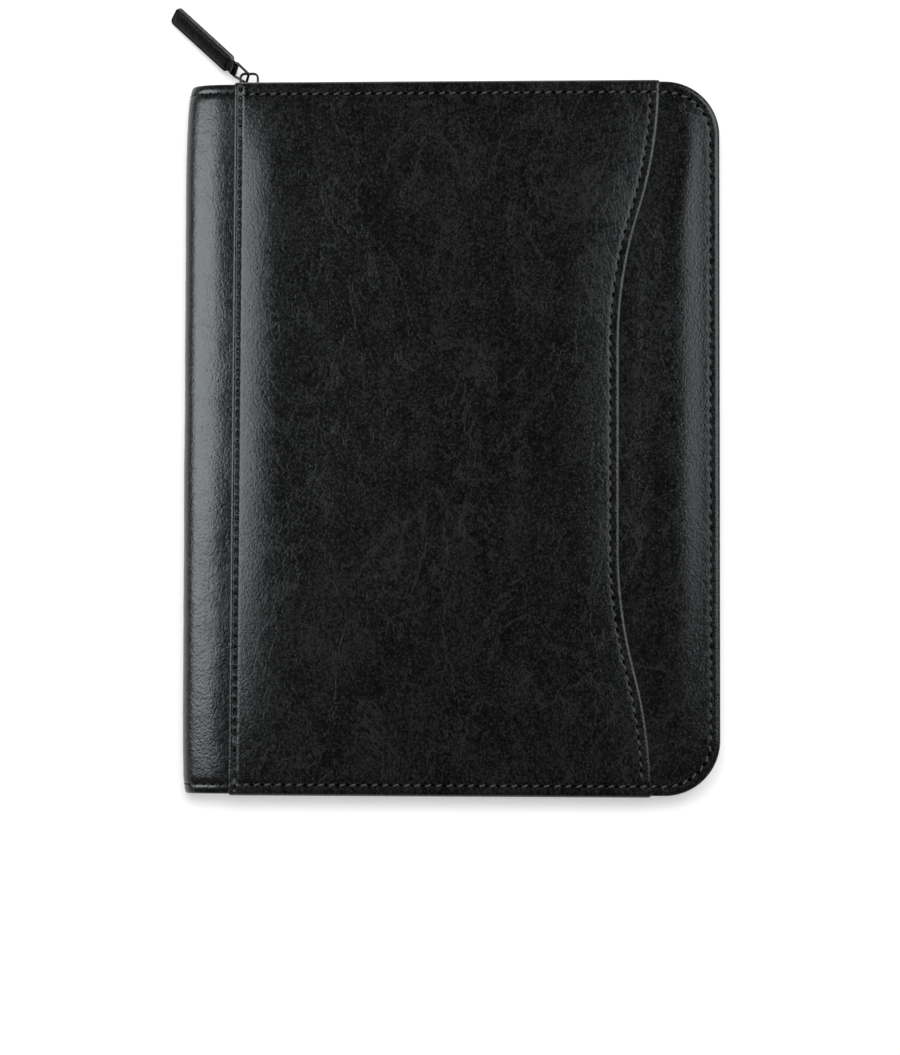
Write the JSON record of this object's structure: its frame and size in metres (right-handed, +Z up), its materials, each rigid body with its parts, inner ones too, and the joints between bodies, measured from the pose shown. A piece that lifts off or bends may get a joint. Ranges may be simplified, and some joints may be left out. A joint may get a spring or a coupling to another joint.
{
  "type": "zippered padfolio",
  "caption": "Closed black leather-look padfolio with a soft spine, an outside pocket, a zip round three sides with a tab pull, and a writing pad, organizer and pen loop inside.",
  "frame": {"origin": "on the back cover's flat underside, at the middle of the closed padfolio's plan outline", "axes": "+X from the spine to the far zip edge, +Y to the top edge, +Z up through the closed covers"},
  "size_m": [0.2644, 0.3732, 0.0256],
  "materials": {
    "leather": "semi-gloss grained faux leather",
    "organizer_leather": "smooth matte faux leather",
    "board": "grey board",
    "lining": "woven nylon lining",
    "zip_tape": "woven zip tape",
    "zip_teeth": "moulded teeth",
    "gunmetal": "dark plated die casting",
    "elastic": "ribbed elastic",
    "pad_card": "chipboard",
    "paper": "writing paper",
    "binding": "binding strip",
    "clear_sheet": "clear sheet"
  },
  "bodies": {
    "back_cover": {"back_leather": "leather", "back_board": "board", "back_lining": "lining", "lower_zip_tape": "zip_tape", "lower_zip_teeth": "zip_teeth", "lower_zip_stops": "gunmetal", "pad_slot_panel": "organizer_leather", "pad_card": "pad_card", "pad_paper": "paper", "pad_binding": "binding", "pen_loop": "elastic"},
    "spine": {"spine_leather": "leather", "spine_board": "board", "spine_lining": "lining"},
    "front_cover": {"front_leather": "leather", "front_pocket_panel": "leather", "front_board": "board", "front_lining": "lining", "upper_zip_tape": "zip_tape", "upper_zip_teeth": "zip_teeth", "upper_zip_stop": "gunmetal", "file_pocket_panel": "organizer_leather", "file_pocket_gusset": "lining", "card_slot_1": "organizer_leather", "card_slot_2": "organizer_leather", "card_slot_3": "organizer_leather", "id_window": "clear_sheet", "id_window_frame": "organizer_leather"},
    "zip_slider": {"slider_body": "gunmetal", "slider_bail": "gunmetal"},
    "link": {"pull_link": "gunmetal"},
    "tab": {"pull_tab": "leather"}
  },
  "joints": [
    {"name": "spine_fold", "type": "hinge", "parent": "back_cover", "child": "spine", "pos_m": [-0.12015, 0, 0.0055], "axis": [0, -1, 0], "range_deg": [0, 90], "deforming": ["spine_leather", "spine_lining"]},
    {"name": "front_fold", "type": "hinge", "parent": "spine", "child": "front_cover", "pos_m": [-0.12015, 0, 0.0201], "axis": [0, -1, 0], "range_deg": [0, 90], "deforming": ["spine_leather", "spine_lining"]},
    {"name": "slider_travel", "type": "slide", "parent": "back_cover", "child": "zip_slider", "axis": [1, 0, 0], "range_m": [0, 0.185], "deforming": ["lower_zip_teeth", "upper_zip_teeth"]},
    {"name": "pull_swing", "type": "hinge", "parent": "zip_slider", "child": "link", "pos_m": [-0.09845, 0.1725, 0.0122], "axis": [0.3095, 0.5746, 0.7576], "range_deg": [0, 32]},
    {"name": "tab_swing", "type": "hinge", "parent": "link", "child": "tab", "pos_m": [-0.10505, 0.17771, 0.01094], "axis": [0.3095, 0.5746, 0.7576], "range_deg": [0, 50]}
  ]
}
